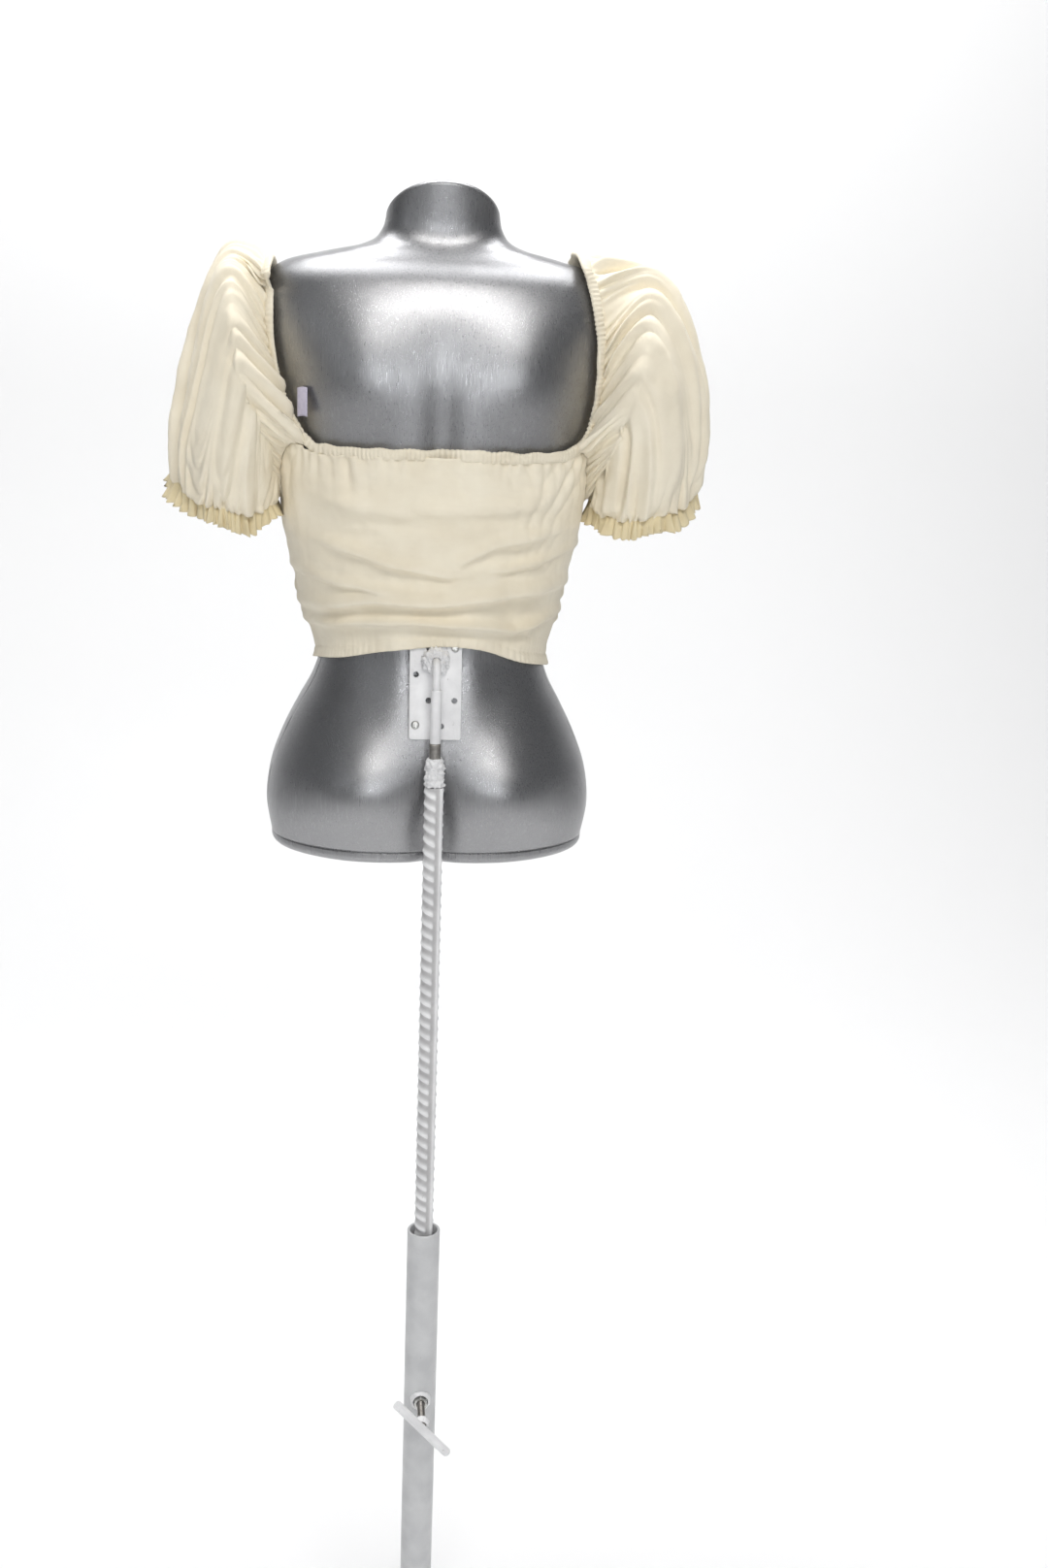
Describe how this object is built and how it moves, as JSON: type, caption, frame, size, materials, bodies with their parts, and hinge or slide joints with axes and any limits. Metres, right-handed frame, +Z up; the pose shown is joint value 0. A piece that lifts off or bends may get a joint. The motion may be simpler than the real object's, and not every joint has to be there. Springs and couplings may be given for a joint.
{
  "type": "dress form mannequin",
  "caption": "Headless, armless female display torso with a slanted neck, hung by a pin on a ribbed bar that slides in a tube with a T-handle clamp, wearing a gathered crop top.",
  "frame": {"origin": "on the floor, on the axis of the stand's tube, which is also the axis that the torso swivels on", "axes": "+Z up; the torso's back faces +Y and its front faces -Y; the wearer's left is +X"},
  "size_m": [0.5284, 0.4325, 1.621],
  "materials": {
    "silver_paint": "satin brushed silver-grey paint over moulded shell",
    "white_paint": "brush-applied white paint on steel",
    "bare_steel": "bare turned steel, slightly worn",
    "zinc_plate": "zinc-plated fastener",
    "cream_cotton": "cream stretch cotton jersey",
    "tag_tape": "blank woven tape",
    "plywood": "bare plywood",
    "plug_plastic": "black moulded plastic"
  },
  "bodies": {
    "base": {"base_beam": "white_paint", "base_arm_left": "white_paint", "base_arm_right": "white_paint", "end_plug_left": "plug_plastic", "end_plug_back": "plug_plastic", "end_plug_right": "plug_plastic", "end_plug_front": "plug_plastic", "base_tube": "white_paint", "tube_weld": "white_paint", "clamp_nut": "zinc_plate", "nut_weld": "white_paint"},
    "column": {"ribbed_bar": "white_paint", "bar_weld": "white_paint", "socket_spigot": "bare_steel", "socket_tube": "white_paint"},
    "torso": {"torso_back": "silver_paint", "torso_front": "silver_paint", "bottom_panel": "silver_paint", "neck_cap": "silver_paint", "backing_block": "plywood", "mount_plate": "white_paint", "plate_screw_1": "zinc_plate", "plate_screw_2": "zinc_plate", "plate_screw_3": "zinc_plate", "pivot_pin": "white_paint", "pin_weld": "white_paint", "bodice": "cream_cotton", "neckline_casing": "cream_cotton", "sleeve_left": "cream_cotton", "sleeve_right": "cream_cotton", "garment_tag": "tag_tape"},
    "clamp_shank": {"clamp_screw": "bare_steel"},
    "clamp_grip": {"clamp_handle": "white_paint", "handle_weld": "white_paint"}
  },
  "joints": [
    {"name": "column_slide", "type": "slide", "parent": "base", "child": "column", "axis": [0, 0, 1], "range_m": [-0.2, 0.1]},
    {"name": "torso_swivel", "type": "hinge", "parent": "column", "child": "torso", "pos_m": [0, 0, 1.16], "axis": [0, 0, 1], "continuous": true},
    {"name": "clamp_travel", "type": "slide", "parent": "base", "child": "clamp_shank", "axis": [0, 1, 0], "range_m": [0, 0.0029]},
    {"name": "clamp_turn", "type": "hinge", "parent": "clamp_shank", "child": "clamp_grip", "pos_m": [0, 0.064, 0.406], "axis": [0, 1, 0], "range_deg": [0, 810]}
  ],
  "couplings": [
    {"joint": "clamp_travel", "follows": "clamp_turn", "m_per_rad": 0.00019894}
  ]
}
